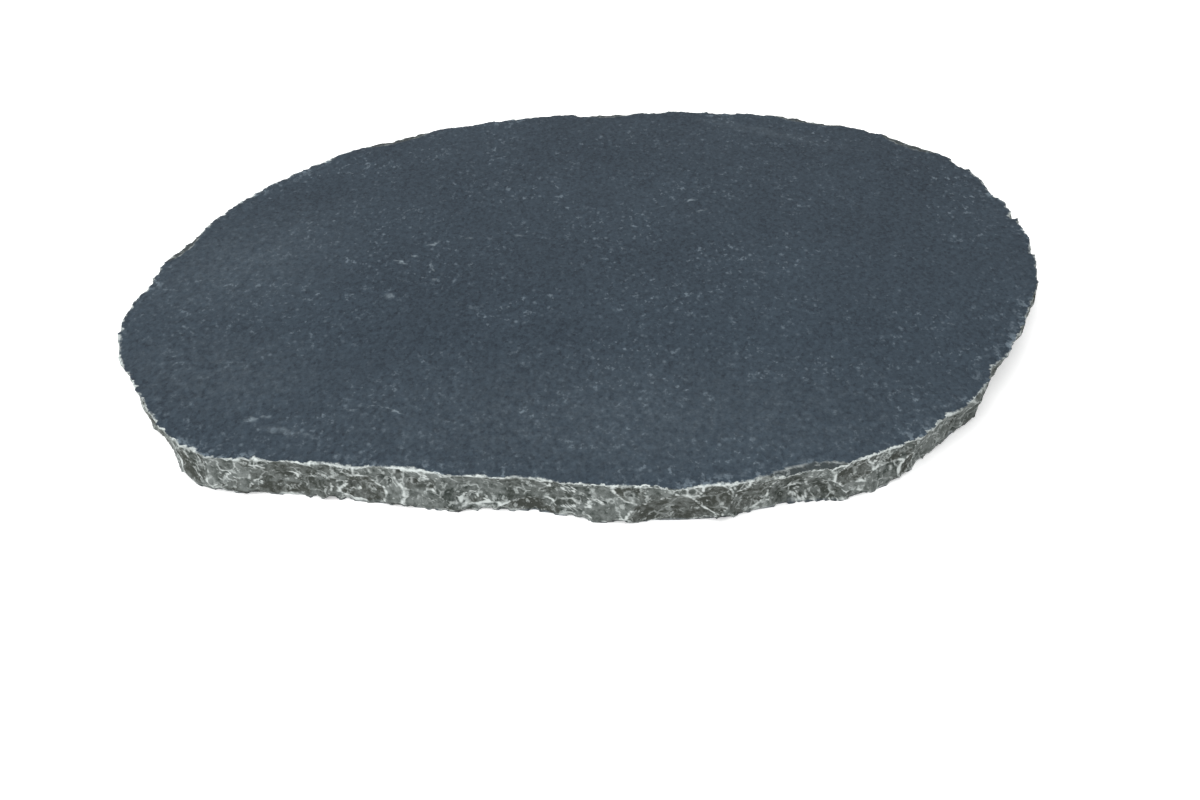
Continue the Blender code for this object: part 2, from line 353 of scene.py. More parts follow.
# A ridge between two scars is crushed to a pale line that strays, swells and thins.
CREST_WIDTH = 0.6
CREST_SWELL = 1.2
CREST_WIDTHS = (0.45, 1.8)  # the thinnest and the widest, as shares of that width
SWELL_SHIFT = 7  # stations between a bend in the line and the swelling that goes with it
SHARPEST = 0.34  # slope between two scars at which their ridge is crushed in full
BLUNTEST = 0.15  # share of the crushing that any ridge gets
LEAST_SLOPE = 0.02
FARTHEST = 6.0  # a gap as wide as this is no ridge
RUFFLE_SHARE = 0.4
RUFFLE = [(9.0, 0.5), (3.5, 0.5), (1.7, 0.3)]  # length over which a ridge line strays, and how far


def stray(place):
    return sum(most * noise.noise(place / size) for size, most in RUFFLE)


blank_skin = skin.start[:, None, :] + skin.line * skin.reach[:, :, None]
ruffle = np.array([[stray(Vector(place)) for place in fan] for fan in blank_skin])


def ridge_lines(skin, width):
    """Nearness to a ridge between scars, from 0 to 1, and stronger on the sharper ridges."""
    gap = np.abs((skin.next_reach - skin.reach) * lengths + RUFFLE_SHARE * ruffle)
    gap = np.minimum(gap, FARTHEST)
    across = np.abs(np.diff(gap, axis=0, append=gap[:1])) / (rim.length / STATIONS)
    upright = np.abs(np.diff(gap, axis=1, append=gap[:, -1:])) / ROW_SPACING
    across = np.maximum(across, np.roll(across, 1, axis=0))
    upright = np.maximum(upright, np.roll(upright, 1, axis=1))
    slope = np.hypot(across, upright) + LEAST_SLOPE
    widths = width * np.clip(1.0 + CREST_SWELL * np.roll(ruffle, SWELL_SHIFT, axis=0), *CREST_WIDTHS)
    return np.exp(-((gap / slope / widths) ** 2)) * np.clip(slope / SHARPEST, BLUNTEST, 1.0)


crest = ridge_lines(skin, CREST_WIDTH)

# Small chips came off the ridges of the wall, the corner of the bed and the arris, in that order.
WALL_CHIPS = 620
WALL_CHIP = {"width": (2.5, 8.0), "height": (2.0, 6.0), "depth": (0.25, 0.8)}
BED_CHIPS = 420
BED_CHIP = {"width": (3.0, 10.0), "height": (2.5, 7.0), "depth": (0.4, 1.5)}
ARRIS_NIBBLES = 520
ARRIS_NIBBLE = {"width": (1.6, 6.0), "height": (1.2, 2.6), "depth": (0.1, 0.38)}
CHIP_FLATNESS = 5.0
CHIP_TILT = 0.35
CHIP_SLANT = 0.8
PLACES_TRIED = 3
BESIDE = 6  # stations to either side of a place, to see whether it juts out
CHIPPED_BED_ROWS = 6  # rows of the bed that a wall chip may fall on too
BED_CORNER = np.array((0, 0, -0.5))
ARRIS_CORNER = np.array((0, 0, 1.0))
chip_draw = random.Random(SEED + 1)


def chip(station, row, kind, facing):
    """One small chip, struck square to the stone there, or nearly."""
    width, height, depth = [chip_draw.uniform(*kind[key]) for key in ("width", "height", "depth")]
    square = Vector(facing) + Vector([chip_draw.uniform(-CHIP_TILT, CHIP_TILT) for _ in range(3)])
    square.normalize()
    along = Vector(alongside[station]) + UP * chip_draw.uniform(-CHIP_SLANT, CHIP_SLANT)
    along = (along - square * along.dot(square)).normalized()
    spread = math.sqrt(1 - (1 - 1 / CHIP_FLATNESS) ** 2)
    radii = (width / 2 / spread, height / 2 / spread, depth * CHIP_FLATNESS)
    turned = Matrix((along, square.cross(along), square)).transposed().to_4x4()
    deepest = Vector(skin.point(station, row)) - square * depth
    shape = Matrix.Translation(deepest + square * radii[2]) @ turned @ Matrix.Diagonal((*radii, 1))
    skin.cut(shape.inverted())


def standing(station, lift):
    """How far out each row of a fan stands, counting height too if lift is 1, or depth if it is -1."""
    here = skin.start[station] + skin.line[station] * skin.reach[station][:, None]
    return here @ outward[station] - arris_at[station] @ outward[station] + lift * here[:, 2]


def jutting(station):
    """How far the corner of the bed stands out from its neighbours on either side."""
    before = standing(station - BESIDE, -1).max()
    after = standing((station + BESIDE) % STATIONS, -1).max()
    return 2 * standing(station, -1).max() - before - after


wall_rows = range(len(FACE_INSETS) + 1, len(FACE_INSETS) + len(WALL_LEVELS) + CHIPPED_BED_ROWS)
for _ in range(WALL_CHIPS):
    places = [
        (chip_draw.randrange(STATIONS), chip_draw.choice(wall_rows)) for _ in range(PLACES_TRIED)
    ]
    station, row = min(places, key=lambda place: skin.gap(*place))
    chip(station, row, WALL_CHIP, skin.facing(station, row))
for _ in range(BED_CHIPS):
    station = max([chip_draw.randrange(STATIONS) for _ in range(PLACES_TRIED)], key=jutting)
    chip(station, int(standing(station, -1).argmax()), BED_CHIP, outward[station] + BED_CORNER)
for _ in range(ARRIS_NIBBLES):
    station = chip_draw.randrange(STATIONS)
    chip(station, int(standing(station, 1).argmax()), ARRIS_NIBBLE, outward[station] + ARRIS_CORNER)

# The last flakes along the front came off clean, over all the rest: distance along the rim, level above
# the bed, width, height, depth, turn and lean in degrees, and how pale the scar is.
LAST_FLAKES = [
    (29, 14, 38, 17, 1.2, 8, 0, 0.75), (63, 13, 27, 17, 1.1, -6, 0, 0.2),
    (97, 8, 22, 16, 1.5, 24, 0, 0.0), (147, 13, 26, 11, 0.9, -6, 0, 0.6),
    (177, 13, 26, 15, 1.0, 0, 0, 0.3), (192, 4, 20, 13, 0.8, -10, 0, 0.5),
    (208, 12, 33, 34, 1.5, -10, 0, 0.6), (243, 1, 38, 35, 2.6, 0, 9, 0.1),
    (262, 14, 17, 16, 1.5, -25, 0, -0.3), (276, 20, 8, 6, 1.1, 0, 0, 0.2),
    (301, 8, 18, 15, 1.6, 6, 0, 0.3), (288, 9, 20, 13, 0.6, 8, 0, 0.1),
    (312, 7, 18, 10, 0.5, -12, 0, 0.25), (335, 16, 20, 11, 1.1, 12, 0, 0.1),
    (343, 20, 7, 6, 0.9, 0, 0, 0.3),
]
first_last = len(skin.balls)
for distance, *shape, _ in LAST_FLAKES:
    wall.flake(distance, *shape)
    skin.cut(wall.scars[-1][1])

points = skin.start[:, None, :] + skin.line * skin.reach[:, :, None]

# The ridges left by the big blows, worn where a chip has gone through them, and the thinner ones round
# the chips and the last flakes.
CHIPPED_CREST = 0.6
THIN_CREST_WIDTH = 0.45
THIN_CREST = 0.5
LATE_CREST = 0.5  # more, round a last flake
NEXT_TO = (-1, 0, 1)
late = (skin.made_by >= first_last).astype(float)
beside_late = np.max([np.roll(late, (i, j), (0, 1)) for i in NEXT_TO for j in NEXT_TO], axis=0)
older = crest * np.where(skin.made_by >= blows, CHIPPED_CREST, 1.0) * (1.0 - late)
thin = ridge_lines(skin, THIN_CREST_WIDTH)
crest = np.maximum(older, (THIN_CREST + LATE_CREST * beside_late) * thin)

# Each scar has its own tone, and stone that was never cut, made by -1, has the last on the list.
UNCUT_TONE = 0.5
scar_tones = [chip_draw.random() for _ in range(first_last)]
scar_tones += [flake[-1] for flake in LAST_FLAKES] + [UNCUT_TONE]
tone = np.array(scar_tones)[skin.made_by]
rows = np.arange(ROWS)[None, :]
uncut = skin.made_by < 0
face_flaked = (skin.made_by >= blows - len(FACE_FLAKES)) & (skin.made_by < blows)
on_face = (uncut | face_flaked) & (rows <= len(FACE_INSETS))
on_bed = uncut & (rows >= ROWS - len(BED_INSETS))

# Along each fan, the distance from the arris in millimetres: less than nothing on the face.
arris_row = np.maximum(np.argmax(~on_face, axis=1) - 1, 0)
steps = np.linalg.norm(np.diff(points, axis=1), axis=-1)
travelled = np.concatenate([np.zeros((STATIONS, 1)), np.cumsum(steps, axis=1)], axis=1)
past_arris = travelled - travelled[np.arange(STATIONS), arris_row][:, None]

# How freshly split the stone is: 1 on the wall, nothing on the face and bed, and between them in a face
# flake's scar, which is also the darkest of all.
FLAKED_FACE = 0.6
FLAKED_TONE = -0.8
FLAKED_CREST = 0.6
tone = np.where(face_flaked, FLAKED_TONE, tone)
crest = np.where(face_flaked, FLAKED_CREST * crest, crest)
split = np.where(face_flaked, FLAKED_FACE, np.where(on_face | on_bed, 0.0, 1.0))

# Ridges lose their sharp crest, and the split stone is rough to the touch.
RIPPLE_SPACING = 2.6
RIPPLE_DEPTH = 0.12
RIPPLE_PATCH = 9.0  # about how wide the patches are that show ripples
BLOW_ABOVE = 6.0  # how far above the middle of its scar a blow fell
TONE_TO_PATCH = 50  # sets the patches of one scar apart from the next one's
GRAIN = [(8.0, 0.6), (3.6, 0.7), (1.8, 0.4)]  # size of the unevenness and its depth
CREST_LOSS = 0.22
LEAST_WEAR = 0.3  # share of the wear where nothing was split
WORN_FACE = -2.5  # the face is worn no further in from the arris than this
wear = np.zeros((STATIONS, ROWS))
hollow = np.zeros((STATIONS, ROWS))
for station in range(STATIONS):
    for row in range(ROWS):
        rough = split[station, row]
        if rough == 0 and past_arris[station, row] < WORN_FACE:
            continue
        place = Vector(points[station, row])
        rubbed = sum(depth * abs(noise.noise(place / size)) for size, depth in GRAIN)
        if skin.made_by[station, row] >= 0:
            turn, shift = skin.balls[skin.made_by[station, row]]
            local = (turn @ points[station, row] + shift) / np.linalg.norm(turn, axis=1)
            blow = math.hypot(local[0], local[1] + BLOW_ABOVE)
            apart = Vector((tone[station, row] * TONE_TO_PATCH, 0, 0))
            shown = max(0.0, noise.noise(place / RIPPLE_PATCH + apart) * 2)
            rubbed += RIPPLE_DEPTH * shown * (1 + math.sin(blow * math.tau / RIPPLE_SPACING))
        wear[station, row] = rubbed * max(rough, LEAST_WEAR)
        hollow[station, row] = rubbed
wear += CREST_LOSS * crest * split
reach = skin.reach - wear / lengths
points = skin.start[:, None, :] + skin.line * reach[:, :, None]

# The face was never quite flat: it dips by up to half a millimetre or so over a hand's width.
FACE_DIP = 0.7
FACE_DIP_SPAN = 75.0


def dip(x, y):
    return FACE_DIP * (0.5 + 0.5 * noise.fractal(Vector((x, y, 0)) / FACE_DIP_SPAN, 1.0, 2.0, 3))


FACE_STEPS = (2.0, 4.4)  # the first and the widest step from one ring to the next inside it
BED_STEPS = (3.0, 16.0)
STEP_GROWTH = 1.5
CROWDED = 0.75  # spacing along a ring, as a share of the step, at which every other vertex goes
LAST_STEP = 0.8  # share of a step left over that is too short for another ring
FEWEST = 8  # vertices in the last ring


def close_ring(ring, level, first_step, widest_step, verts, faces, upward):
    """Fills in from a ring of vertices to its middle, halving the count as the rings shorten."""
    middle = np.mean([verts[i] for i in ring], axis=0)
    radius = np.mean([np.hypot(*(verts[i] - middle)[:2]) for i in ring])
    outline = np.array([verts[i] for i in ring]) - middle
    left, step = radius, first_step
    while True:
        left -= step
        if left < step * LAST_STEP or len(ring) <= FEWEST:
            break
        spacing = math.tau * left / len(ring)
        halve = spacing < step * CROWDED and len(ring) % 2 == 0
        outline_here = outline[::2] if halve else outline
        fresh = []
        for offset in outline_here:
            spot = middle + offset * left / radius
            spot[2] = level
            fresh.append(len(verts))
            verts.append(spot)
        count = len(fresh)
        for k in range(count):
            a, b = fresh[k], fresh[(k + 1) % count]
            if halve:
                p, q, r = ring[2 * k], ring[2 * k + 1], ring[(2 * k + 2) % len(ring)]
                corners = [(p, q, a), (q, b, a), (q, r, b)]
            else:
                p, q = ring[k], ring[(k + 1) % count]
                corners = [(p, q, b, a)]
            faces.extend(corner if upward else corner[::-1] for corner in corners)
        ring, outline = fresh, outline_here
        step = min(step * STEP_GROWTH, widest_step)
    hub = len(verts)
    verts.append(np.array((middle[0], middle[1], level)))
    for k in range(len(ring)):
        corner = (ring[k], ring[(k + 1) % len(ring)], hub)
        faces.append(corner if upward else corner[::-1])


verts = [points[station, row] for station in range(STATIONS) for row in range(ROWS)]
faces = []
for station in range(STATIONS):
    after = (station + 1) % STATIONS
    for row in range(ROWS - 1):
        here, there = station * ROWS + row, after * ROWS + row
        faces.append((here, here + 1, there + 1, there))
band = len(verts)
innermost = [station * ROWS for station in range(STATIONS)]
close_ring(innermost, THICKNESS, *FACE_STEPS, verts, faces, True)
close_ring([first + ROWS - 1 for first in innermost], 0.0, *BED_STEPS, verts, faces, False)
verts = np.array(verts)
for i, (x, y, z) in enumerate(verts):
    verts[i, 2] = z - dip(x, y) * (z / THICKNESS) ** 3

stone_mesh = bpy.data.meshes.new("limestone_stepping_stone")
stone_mesh.from_pydata((verts * MM).tolist(), [], faces)
stone_mesh.validate()
stone_mesh.polygons.foreach_set("use_smooth", [True] * len(stone_mesh.polygons))
FAR_IN = -40.0
interior = len(verts) - band
for name, values, inside in (
    ("split", split, 0.0),
    ("crest", crest, 0.0),
    ("hollow", hollow, 0.0),
    ("blow_tone", tone, UNCUT_TONE),
    ("past_arris", past_arris, FAR_IN),
):
    layer = stone_mesh.attributes.new(name, "FLOAT", "POINT")
    values = np.concatenate([values.ravel(), np.full(interior, inside)])
    layer.data.foreach_set("value", values.astype(np.float32))
stone = bpy.data.objects.new("limestone_stepping_stone", stone_mesh)
bpy.context.scene.collection.objects.link(stone)


# ---------------------------------------------------------------------------
# The stone itself: fine-grained limestone, nearly black with a blue cast on
# the tumbled face, and a paler grey-green where it is freshly split. Ridges
# and the arris are bruised white by the chisel.
# ---------------------------------------------------------------------------


def colour(hex_code):
    """An sRGB hex colour as linear RGBA."""
    channels = [int(hex_code[i:i + 2], 16) / 255 for i in (1, 3, 5)]
    linear = [c / 12.92 if c <= 0.04045 else ((c + 0.055) / 1.055) ** 2.4 for c in channels]
    return (*linear, 1.0)


def per_metre(size):
    """The scale of a pattern whose features are this many millimetres across."""
    return 1000.0 / size


def add(material, kind, settings, sockets, output=None):
    """Adds one node with its settings, sets or links the sockets named, and gives its output."""
    node = material.node_tree.nodes.new(kind)
    for name, value in settings.items():
        setattr(node, name, value)
    usable = [s for s in node.inputs if not s.is_unavailable]
    for name, value in sockets.items():
        socket = usable[name] if isinstance(name, int) else next(s for s in usable if s.name == name)
        if isinstance(value, bpy.types.NodeSocket):
            material.node_tree.links.new(value, socket)
        else:
            socket.default_value = value
    return next((s for s in node.outputs if not s.is_unavailable and output in (None, s.name)), None)


NOISE, CELLS = "ShaderNodeTexNoise", "ShaderNodeTexVoronoi"
MIX, RANGE, MATHS = "ShaderNodeMix", "ShaderNodeMapRange", "ShaderNodeMath"
VECTORS = "ShaderNodeVectorMath"
limestone = bpy.data.materials.new("limestone, tumbled face and chisel-split edge")
limestone.use_nodes = True
limestone.node_tree.nodes.clear()
spot = add(limestone, "ShaderNodeTexCoord", {}, {}, "Object")
split_here = add(limestone, "ShaderNodeAttribute", {"attribute_name": "split"}, {}, "Fac")
crest_here = add(limestone, "ShaderNodeAttribute", {"attribute_name": "crest"}, {}, "Fac")
tone_here = add(limestone, "ShaderNodeAttribute", {"attribute_name": "blow_tone"}, {}, "Fac")
hollow_here = add(limestone, "ShaderNodeAttribute", {"attribute_name": "hollow"}, {}, "Fac")
past_here = add(limestone, "ShaderNodeAttribute", {"attribute_name": "past_arris"}, {}, "Fac")

# Tumbled face: blue-black, clouded over a hand's width, with a salt-and-pepper grain a millimetre or
# two across.
FACE_DARK = "#18212a"
FACE_LIGHT = "#36424c"
GRAIN_STRETCH = (1.0, 0.7, 1.0)  # the grain lies longer from front to back
along_grain = add(limestone, "ShaderNodeMapping", {}, {"Vector": spot, "Scale": GRAIN_STRETCH})
clouds = add(limestone, NOISE, {}, {"Vector": spot, "Scale": per_metre(70), "Detail": 3.0})
mottle = add(limestone, NOISE, {}, {
    "Vector": along_grain, "Scale": per_metre(2.4), "Detail": 2.0, "Roughness": 0.8})
grains = add(limestone, CELLS, {}, {"Vector": along_grain, "Scale": per_metre(1.5)}, "Color")
mottle_and_cloud = add(limestone, MIX, {"data_type": "FLOAT"}, {
    "Factor": 0.3, "A": mottle, "B": clouds})
mixed = add(limestone, MIX, {"data_type": "FLOAT"}, {
    "Factor": 0.26, "A": mottle_and_cloud, "B": grains})
shade = add(limestone, RANGE, {}, {"Value": mixed, "From Min": 0.26, "From Max": 0.76})
face_base = add(limestone, MIX, {"data_type": "RGBA"}, {
    "Factor": shade, "A": colour(FACE_DARK), "B": colour(FACE_LIGHT)})

# Pale specks sit in the face, some as dots and some as crumbly flecks, thicker in some patches than in
# others, and in a few stretches along the rim.
FACE_SPECK = "#616d76"
patches = add(limestone, NOISE, {}, {"Vector": spot, "Scale": per_metre(34), "Detail": 2.0})
patch_share = add(limestone, RANGE, {}, {
    "Value": patches, "From Min": 0.4, "From Max": 0.62, "To Min": 0.15, "To Max": 0.75})
flecks = add(limestone, NOISE, {}, {
    "Vector": along_grain, "Scale": per_metre(3.4), "Detail": 2.0, "Roughness": 0.7})
fleck_share = add(limestone, RANGE, {}, {"Value": flecks, "From Min": 0.6, "From Max": 0.74})
DOT_SPACING = 4.6
dot_centres = add(limestone, CELLS, {}, {
    "Vector": along_grain, "Scale": per_metre(DOT_SPACING)}, "Distance")
dot_luck = add(limestone, CELLS, {}, {
    "Vector": along_grain, "Scale": per_metre(DOT_SPACING)}, "Color")
dot_near = add(limestone, RANGE, {}, {"Value": dot_centres, "From Min": 0.3, "From Max": 0.04})
dot_kept = add(limestone, RANGE, {}, {"Value": dot_luck, "From Min": 0.5, "From Max": 0.95})
dots = add(limestone, MATHS, {"operation": "MULTIPLY"}, {0: dot_near, 1: dot_kept})
specks = add(limestone, MATHS, {"operation": "MAXIMUM"}, {0: fleck_share, 1: dots})
near_rim = add(limestone, RANGE, {}, {
    "Value": past_here, "From Min": -10.0, "From Max": -1.0, "To Max": 0.8})
rim_patch = add(limestone, RANGE, {}, {"Value": patches, "From Min": 0.5, "From Max": 0.6})
rim_flecks = add(limestone, RANGE, {}, {"Value": flecks, "From Min": 0.5, "From Max": 0.62})
rim_specks = add(limestone, MATHS, {"operation": "MULTIPLY"}, {0: rim_flecks, 1: near_rim})
rim_speckle = add(limestone, MATHS, {"operation": "MULTIPLY"}, {0: rim_specks, 1: rim_patch})
inner_speckle = add(limestone, MATHS, {"operation": "MULTIPLY"}, {0: specks, 1: patch_share})
speckle = add(limestone, MATHS, {"operation": "MAXIMUM"}, {0: inner_speckle, 1: rim_speckle})
face_colour = add(limestone, MIX, {"data_type": "RGBA"}, {
    "Factor": speckle, "A": face_base, "B": colour(FACE_SPECK)})

# Scuffs on the face: short pale scratches and rubs, and last a few wide stretches of faint pale haze.
# The haze is painted light that makes mostly the left and front of the face paler, as if they were lit
# more strongly. Their outlines wander by a few millimetres.
SCUFFS_AND_PAINTED_LIGHT = [  # x, y, length and width in millimetres, turn in degrees, strength
    (-109, 5, 9, 2.4, -34, 0.9), (-101, 11, 6, 1.6, -20, 0.5), (-92, 26, 10, 1.8, 49, 0.6),
    (-90, 0, 12, 2.2, -75, 0.6), (-88, -15, 5, 3.0, 0, 0.4), (-111, -33, 6, 4.0, -60, 0.5),
    (-109, -138, 11, 1.3, -8, 0.5), (-98, -143, 13, 1.4, -31, 0.6), (-117, -142, 5, 3.0, 0, 0.5),
    (-166, -150, 6, 4.0, -30, 0.6), (-160, -148, 6, 3.0, 0, 0.5), (-147, -160, 30, 8.0, -16, 0.2),
    (-136, -163, 12, 6.0, -20, 0.24), (40, 72, 8, 2.4, 35, 0.5), (57, 80, 8, 2.4, 20, 0.6),
    (63, 67, 7, 2.0, 45, 0.5), (-43, 35, 6, 3.0, 10, 0.4), (-72, 33, 5, 3.0, -30, 0.4),
    # The last four, of strength 0.08, are painted light: faint pale haze, mostly over the left and
    # front of the face.
    (-200, 0, 160, 110, 60, 0.08), (-190, -110, 130, 90, -20, 0.08), (10, -155, 380, 120, 0, 0.08),
    (110, 175, 90, 14, -25, 0.08),
]
SCUFF_AND_PAINTED_LIGHT_PALE = "#7f8b92"
SCUFF_AND_PAINTED_LIGHT_WANDER = 8.0
SCUFF_AND_PAINTED_LIGHT_DEPTH = 50.0  # far more than the face's dips, so that a scuff runs over them
wander = add(limestone, NOISE, {}, {"Vector": spot, "Scale": per_metre(5), "Detail": 3.0}, "Color")
wandered = add(limestone, VECTORS, {"operation": "MULTIPLY_ADD"}, {
    0: wander, 1: (SCUFF_AND_PAINTED_LIGHT_WANDER * MM, SCUFF_AND_PAINTED_LIGHT_WANDER * MM, 0.0), 2: spot})
scuffs_and_painted_light = 0.0
for x, y, length, width, turn, strength in SCUFFS_AND_PAINTED_LIGHT:
    middle = (x + SCUFF_AND_PAINTED_LIGHT_WANDER / 2, y + SCUFF_AND_PAINTED_LIGHT_WANDER / 2, THICKNESS)
    laid = add(limestone, "ShaderNodeMapping", {"vector_type": "TEXTURE"}, {
        "Vector": wandered, "Location": [part * MM for part in middle],
        "Rotation": (0.0, 0.0, math.radians(turn)),
        "Scale": (length / 2 * MM, width / 2 * MM, SCUFF_AND_PAINTED_LIGHT_DEPTH * MM)})
    from_middle = add(limestone, VECTORS, {"operation": "LENGTH"}, {"Vector": laid}, "Value")
    here = add(limestone, RANGE, {}, {
        "Value": from_middle, "From Min": 1.3, "From Max": 0.2, "To Max": strength})
    scuffs_and_painted_light = add(limestone, MATHS, {"operation": "MAXIMUM"}, {0: scuffs_and_painted_light, 1: here})
broken_up = add(limestone, RANGE, {}, {
    "Value": flecks, "From Min": 0.38, "From Max": 0.58, "To Min": 0.25})
scuff_and_painted_light_share = add(limestone, MATHS, {"operation": "MULTIPLY"}, {0: scuffs_and_painted_light, 1: broken_up})
# Real scuffs and painted light, laid over the face in one pale colour.
face_scuffed_and_painted_light = add(limestone, MIX, {"data_type": "RGBA"}, {
    "Factor": scuff_and_painted_light_share, "A": face_colour, "B": colour(SCUFF_AND_PAINTED_LIGHT_PALE)})

# Split edge: sugary grain in greys with a green cast, each scar a little lighter or darker than the
# next, and the darkest a little warmer.
EDGE_DARK = "#323835"
EDGE_WARM = "#46423b"
EDGE_MID = "#6b706e"
EDGE_PALE = "#a4aaa8"
grit = add(limestone, NOISE, {}, {
    "Vector": spot, "Scale": per_metre(2.8), "Detail": 4.0, "Roughness": 0.75})
blotches = add(limestone, NOISE, {}, {"Vector": spot, "Scale": per_metre(11), "Detail": 2.0})
grit_and_blotch = add(limestone, MIX, {"data_type": "FLOAT"}, {
    "Factor": 0.2, "A": grit, "B": blotches})
toned = add(limestone, MIX, {"data_type": "FLOAT"}, {
    "Factor": 0.2, "A": grit_and_blotch, "B": tone_here})
# Painted shade in the hollows: the deeper the grain is worn in, the darker it is painted. The high
# points between the hollows are paler, where the grain is bruised.
bruised_tops_and_hollow_shade = add(limestone, RANGE, {}, {
    "Value": hollow_here, "From Min": 0.1, "From Max": 0.8, "To Min": 0.12, "To Max": -0.12})
toned_with_hollow_shade = add(limestone, MATHS, {"operation": "ADD"}, {0: toned, 1: bruised_tops_and_hollow_shade})
edge_shade = add(limestone, RANGE, {}, {"Value": toned_with_hollow_shade, "From Min": 0.38, "From Max": 0.67})
warmth = add(limestone, RANGE, {}, {
    "Value": tone_here, "From Min": 0.45, "From Max": 0.1, "To Max": 0.25})
edge_dark = add(limestone, MIX, {"data_type": "RGBA"}, {
    "Factor": warmth, "A": colour(EDGE_DARK), "B": colour(EDGE_WARM)})
edge_base = add(limestone, MIX, {"data_type": "RGBA"}, {
    "Factor": edge_shade, "A": edge_dark, "B": colour(EDGE_MID)})
crumbs = add(limestone, NOISE, {}, {
    "Vector": spot, "Scale": per_metre(3.8), "Detail": 3.0, "Roughness": 0.66})
crushed = add(limestone, RANGE, {}, {
    "Value": crumbs, "From Min": 0.57, "From Max": 0.65, "To Max": 0.6})
edge_crushed = add(limestone, MIX, {"data_type": "RGBA"}, {
    "Factor": crushed, "A": edge_base, "B": colour(EDGE_PALE)})

# Crushed grain outlines small chips all over the scars in thin pale threads, thick in some patches and
# missing in others. The darkest scars came off cleanest and have the fewest.
BUCKLING = 6.0
struck = add(limestone, NOISE, {}, {
    "Vector": spot, "Scale": per_metre(8), "Detail": 3.0, "Roughness": 0.65})
buckle = add(limestone, NOISE, {}, {"Vector": spot, "Scale": per_metre(6), "Detail": 3.0}, "Color")
buckled = add(limestone, VECTORS, {"operation": "MULTIPLY_ADD"}, {
    0: buckle, 1: (BUCKLING * MM, BUCKLING * MM, BUCKLING * MM), 2: spot})
beside = add(limestone, CELLS, {"feature": "DISTANCE_TO_EDGE"}, {
    "Vector": buckled, "Scale": per_metre(8)})
thread = add(limestone, RANGE, {}, {
    "Value": beside, "From Min": 0.015, "From Max": 0.07, "To Min": 1.0, "To Max": 0.0})
thread_patch = add(limestone, RANGE, {}, {
    "Value": struck, "From Min": 0.46, "From Max": 0.58, "To Max": 0.7})
crumbly = add(limestone, RANGE, {}, {
    "Value": tone_here, "From Min": 0.05, "From Max": 0.3, "To Min": 0.4})
thread_share = add(limestone, MATHS, {"operation": "MULTIPLY"}, {0: thread_patch, 1: crumbly})
threaded = add(limestone, MATHS, {"operation": "MULTIPLY"}, {0: thread, 1: thread_share})
edge_threaded = add(limestone, MIX, {"data_type": "RGBA"}, {
    "Factor": threaded, "A": edge_crushed, "B": colour(EDGE_PALE)})

# Bruises: each ridge is crushed white for a millimetre or so, more in some places than others. The
# right end of the edge is darkened with painted shade, as if it were turned away from the light.
BRUISE = "#bcc2c0"
struck_share = add(limestone, RANGE, {}, {
    "Value": struck, "From Min": 0.38, "From Max": 0.56, "To Min": 0.15})
ridge = add(limestone, MATHS, {"operation": "MULTIPLY"}, {0: crest_here, 1: struck_share})
bruised = add(limestone, RANGE, {}, {
    "Value": ridge, "From Min": 0.12, "From Max": 0.65, "To Max": 0.9})
edge_bruised = add(limestone, MIX, {"data_type": "RGBA"}, {
    "Factor": bruised, "A": edge_threaded, "B": colour(BRUISE)})
along_stone = add(limestone, "ShaderNodeSeparateXYZ", {}, {"Vector": spot}, "X")
# Painted shade: the edge darkens towards the right end, up to halfway to the dark scar colour.
painted_shade_right_end = add(limestone, RANGE, {}, {
    "Value": along_stone, "From Min": 140 * MM, "From Max": 200 * MM, "To Max": 0.5})
edge_colour = add(limestone, MIX, {"data_type": "RGBA"}, {
    "Factor": painted_shade_right_end, "A": edge_bruised, "B": edge_dark})

# Arris: a ragged pale line a millimetre or so wide, where the face breaks off, wider in places and lost
# in others, and faint round the right end.
ARRIS_PALE = "#bec5c3"
RAGGEDNESS = 7.0
LINE_MIDDLE = 4.0  # a little more than half of that, so that the line lies mostly on the wall
ragged = add(limestone, NOISE, {}, {
    "Vector": spot, "Scale": per_metre(5), "Detail": 3.0, "Roughness": 0.75})
shifted = add(limestone, MATHS, {"operation": "MULTIPLY_ADD"}, {
    0: ragged, 1: RAGGEDNESS, 2: past_here})
from_line = add(limestone, MATHS, {"operation": "SUBTRACT"}, {0: shifted, 1: LINE_MIDDLE})
distance_off = add(limestone, MATHS, {"operation": "ABSOLUTE"}, {0: from_line})
swelling = add(limestone, NOISE, {}, {"Vector": spot, "Scale": per_metre(16), "Detail": 2.0})
line_width = add(limestone, RANGE, {}, {
    "Value": swelling, "From Min": 0.36, "From Max": 0.62, "To Min": 0.45, "To Max": 1.8})
line_share = add(limestone, RANGE, {}, {
    "Value": distance_off, "From Min": line_width, "From Max": 0.3, "To Min": 0.0, "To Max": 0.95})
kept = add(limestone, RANGE, {}, {
    "Value": struck, "From Min": 0.36, "From Max": 0.5, "To Min": 0.25})
beaded = add(limestone, RANGE, {}, {
    "Value": crumbs, "From Min": 0.4, "From Max": 0.54, "To Min": 0.45})
kept_beads = add(limestone, MATHS, {"operation": "MULTIPLY"}, {0: kept, 1: beaded})
faint_end = add(limestone, RANGE, {}, {
    "Value": along_stone, "From Min": 160 * MM, "From Max": 200 * MM, "To Min": 1.0, "To Max": 0.6})
line_left = add(limestone, MATHS, {"operation": "MULTIPLY"}, {0: kept_beads, 1: faint_end})
arris_share = add(limestone, MATHS, {"operation": "MULTIPLY"}, {0: line_share, 1: line_left})
face_or_edge = add(limestone, MIX, {"data_type": "RGBA"}, {
    "Factor": split_here, "A": face_scuffed_and_painted_light, "B": edge_colour})
stone_colour = add(limestone, MIX, {"data_type": "RGBA"}, {
    "Factor": arris_share, "A": face_or_edge, "B": colour(ARRIS_PALE)})

